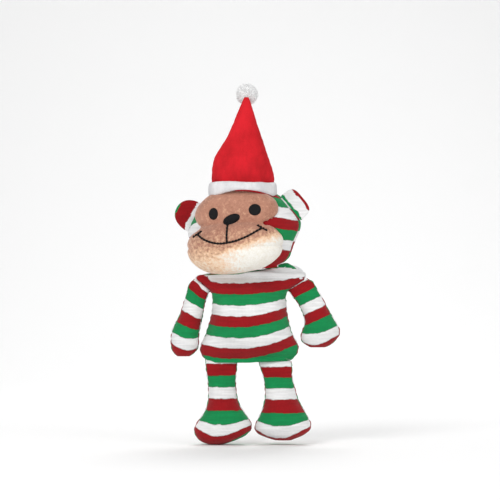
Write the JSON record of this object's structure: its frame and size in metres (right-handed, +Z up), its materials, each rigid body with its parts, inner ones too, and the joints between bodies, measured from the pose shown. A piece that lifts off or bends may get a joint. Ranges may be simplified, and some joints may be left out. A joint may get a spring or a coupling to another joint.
{
  "type": "plush monkey toy",
  "caption": "Soft stuffed monkey in striped knitted pyjamas with a pointed pom-pom hat; the head, ears, arms, legs and hat turn on sewn seams",
  "frame": {"origin": "under the middle of the toy's outer box, at the level of the lowest sole", "axes": "+Z up, the toy faces -Y, its own left side is at +X"},
  "size_m": [0.1338, 0.0697, 0.2857],
  "materials": {
    "knit": "striped white, red and green cotton knit",
    "face_plush": "short sheared tan plush",
    "chin_plush": "short sheared plush, tan fading to white",
    "thread": "black satin-stitched thread",
    "red_velour": "smooth red velour",
    "white_velour": "white velour",
    "white_yarn": "white cut yarn",
    "filling": "white polyester fibre"
  },
  "bodies": {
    "torso": {"tunic_front": "knit", "tunic_back": "knit", "tunic_stuffing": "filling"},
    "head": {"hood_front": "knit", "hood_back": "knit", "hood_stuffing": "filling", "face_plush": "face_plush", "chin_plush": "chin_plush", "face_stuffing": "filling", "eye_left": "thread", "eye_right": "thread", "nose": "thread", "mouth_stitching": "thread", "hat_band": "white_velour", "hat_crown": "red_velour"},
    "arm_left": {"arm_left_front": "knit", "arm_left_back": "knit", "arm_left_stuffing": "filling"},
    "arm_right": {"arm_right_front": "knit", "arm_right_back": "knit", "arm_right_stuffing": "filling"},
    "leg_left": {"leg_left_front": "knit", "leg_left_back": "knit", "leg_left_stuffing": "filling"},
    "leg_right": {"leg_right_front": "knit", "leg_right_back": "knit", "leg_right_stuffing": "filling"},
    "ear_left": {"ear_left_front": "knit", "ear_left_back": "knit"},
    "ear_right": {"ear_right_front": "knit", "ear_right_back": "knit"},
    "hat": {"hat_front": "red_velour", "hat_back": "red_velour", "hat_stuffing": "filling"},
    "pom_pom": {"pom_pom": "white_yarn"}
  },
  "joints": [
    {"name": "head_turn", "type": "hinge", "parent": "torso", "child": "head", "pos_m": [-0.0062, 0.0069, 0.1368], "axis": [0, 0, 1], "range_deg": [-25, 25], "stiffness_Nm_per_rad": 0.08},
    {"name": "arm_left_swing", "type": "hinge", "parent": "torso", "child": "arm_left", "pos_m": [0.0339, 0.0069, 0.12615], "axis": [-0.8387, 0, -0.5446], "range_deg": [-45, 45], "stiffness_Nm_per_rad": 0.02},
    {"name": "arm_right_swing", "type": "hinge", "parent": "torso", "child": "arm_right", "pos_m": [-0.0427, 0.0069, 0.1254], "axis": [-0.788, 0, 0.6157], "range_deg": [-45, 45], "stiffness_Nm_per_rad": 0.02},
    {"name": "leg_left_swing", "type": "hinge", "parent": "torso", "child": "leg_left", "pos_m": [0.0158, 0.0069, 0.0639], "axis": [-1, 0, 0], "range_deg": [-40, 78], "stiffness_Nm_per_rad": 0.05},
    {"name": "leg_right_swing", "type": "hinge", "parent": "torso", "child": "leg_right", "pos_m": [-0.027, 0.0069, 0.0639], "axis": [-1, 0, 0], "range_deg": [-40, 78], "stiffness_Nm_per_rad": 0.05},
    {"name": "ear_left_fold", "type": "hinge", "parent": "head", "child": "ear_left", "pos_m": [0.02827, -0.00201, 0.18699], "axis": [-0.6297, 0.1274, 0.7663], "range_deg": [-40, 40], "stiffness_Nm_per_rad": 0.01},
    {"name": "ear_right_fold", "type": "hinge", "parent": "head", "child": "ear_right", "pos_m": [-0.04854, 0.01581, 0.17947], "axis": [0.4688, -0.1274, 0.8741], "range_deg": [-40, 40], "stiffness_Nm_per_rad": 0.01},
    {"name": "hat_flop", "type": "hinge", "parent": "head", "child": "hat", "pos_m": [-0.01, 0.0019, 0.20685], "axis": [1, 0, 0], "range_deg": [-30, 30], "stiffness_Nm_per_rad": 0.02},
    {"name": "pom_pom_swing", "type": "hinge", "parent": "hat", "child": "pom_pom", "pos_m": [-0.0071, 0.0043, 0.2722], "axis": [1, 0, 0], "range_deg": [-25, 30], "stiffness_Nm_per_rad": 0.002}
  ]
}
